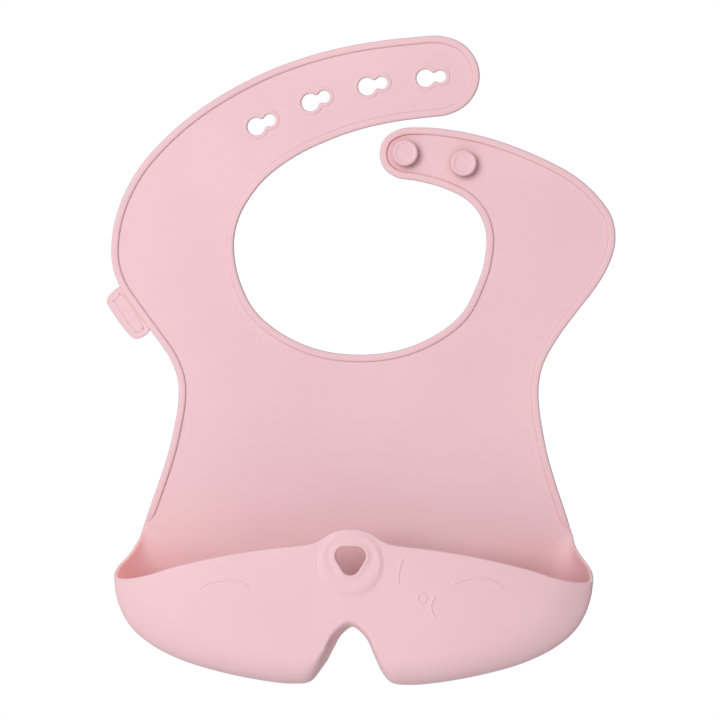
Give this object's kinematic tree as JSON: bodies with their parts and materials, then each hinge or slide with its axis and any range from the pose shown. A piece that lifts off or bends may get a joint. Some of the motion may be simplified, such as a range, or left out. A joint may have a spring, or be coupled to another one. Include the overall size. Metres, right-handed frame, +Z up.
{
  "type": "silicone feeding bib",
  "caption": "Soft moulded feeding bib with a raised border, a keyhole strap and a stud strap that close behind the neck, a wide scoop pocket with a notch between two lobes, and a side tag.",
  "frame": {"origin": "centre of the neck opening, in the plane of the panel's back face", "axes": "+Z up, from the pocket towards the neck; +Y out of the panel's back, towards the wearer; the pocket stands out towards -Y; +X to the right of someone facing the bib"},
  "size_m": [0.2356, 0.0471, 0.2935],
  "materials": {
    "silicone": "matte moulded silicone, pale pink, slightly powdery"
  },
  "bodies": {
    "upper": {"yoke_panel": "silicone", "neck_bead": "silicone", "yoke_bead_right": "silicone", "yoke_bead_left": "silicone"},
    "key_base": {"key_strap_base": "silicone", "key_strap_base_bead_inner": "silicone", "key_strap_base_bead_outer": "silicone"},
    "key_tip": {"key_strap_end": "silicone", "key_strap_end_bead": "silicone", "keyhole_welt_1": "silicone", "keyhole_welt_2": "silicone", "keyhole_welt_3": "silicone", "keyhole_welt_4": "silicone"},
    "stud_base": {"stud_strap_base": "silicone", "stud_strap_base_bead_outer": "silicone", "stud_strap_base_bead_inner": "silicone"},
    "stud_tip": {"stud_strap_end": "silicone", "stud_strap_end_bead": "silicone", "stud_1": "silicone", "stud_2": "silicone"},
    "lower": {"lower_panel": "silicone", "lower_bead_right": "silicone", "lower_bead_left": "silicone", "pocket_wall_right": "silicone", "pocket_floor": "silicone", "pocket_wall_left": "silicone"},
    "pocket": {"pocket_front": "silicone", "pocket_boss": "silicone"},
    "tag": {"side_tag": "silicone", "side_tag_frame": "silicone"}
  },
  "joints": [
    {"name": "key_strap_fold", "type": "hinge", "parent": "upper", "child": "key_base", "pos_m": [0, -0.0008, -0.008], "axis": [-1, 0, 0], "range_deg": [-60, 95], "stiffness_Nm_per_rad": 0.05},
    {"name": "key_strap_curl", "type": "hinge", "parent": "key_base", "child": "key_tip", "pos_m": [-0.0428, -0.0008, 0.0322], "axis": [-0.7948, 0, 0.6069], "range_deg": [-30, 45], "stiffness_Nm_per_rad": 0.05},
    {"name": "stud_strap_fold", "type": "hinge", "parent": "upper", "child": "stud_base", "pos_m": [0, -0.0008, -0.008], "axis": [-1, 0, 0], "range_deg": [-60, 95], "stiffness_Nm_per_rad": 0.05},
    {"name": "stud_strap_curl", "type": "hinge", "parent": "stud_base", "child": "stud_tip", "pos_m": [0.049, -0.0008, 0.0218], "axis": [-0.9132, 0, -0.4075], "range_deg": [-30, 45], "stiffness_Nm_per_rad": 0.05},
    {"name": "waist_fold", "type": "hinge", "parent": "upper", "child": "lower", "pos_m": [0, -0.0008, -0.085], "axis": [-1, 0, 0], "range_deg": [-30, 90], "stiffness_Nm_per_rad": 0.3},
    {"name": "pocket_flex", "type": "hinge", "parent": "lower", "child": "pocket", "pos_m": [0, -0.044, -0.188], "axis": [1, 0, 0], "range_deg": [-15, 20], "stiffness_Nm_per_rad": 0.1},
    {"name": "tag_flex", "type": "hinge", "parent": "upper", "child": "tag", "pos_m": [-0.1117, -0.0007, -0.0209], "axis": [0.5735, 0, -0.8192], "range_deg": [-75, 75], "stiffness_Nm_per_rad": 0.003}
  ]
}
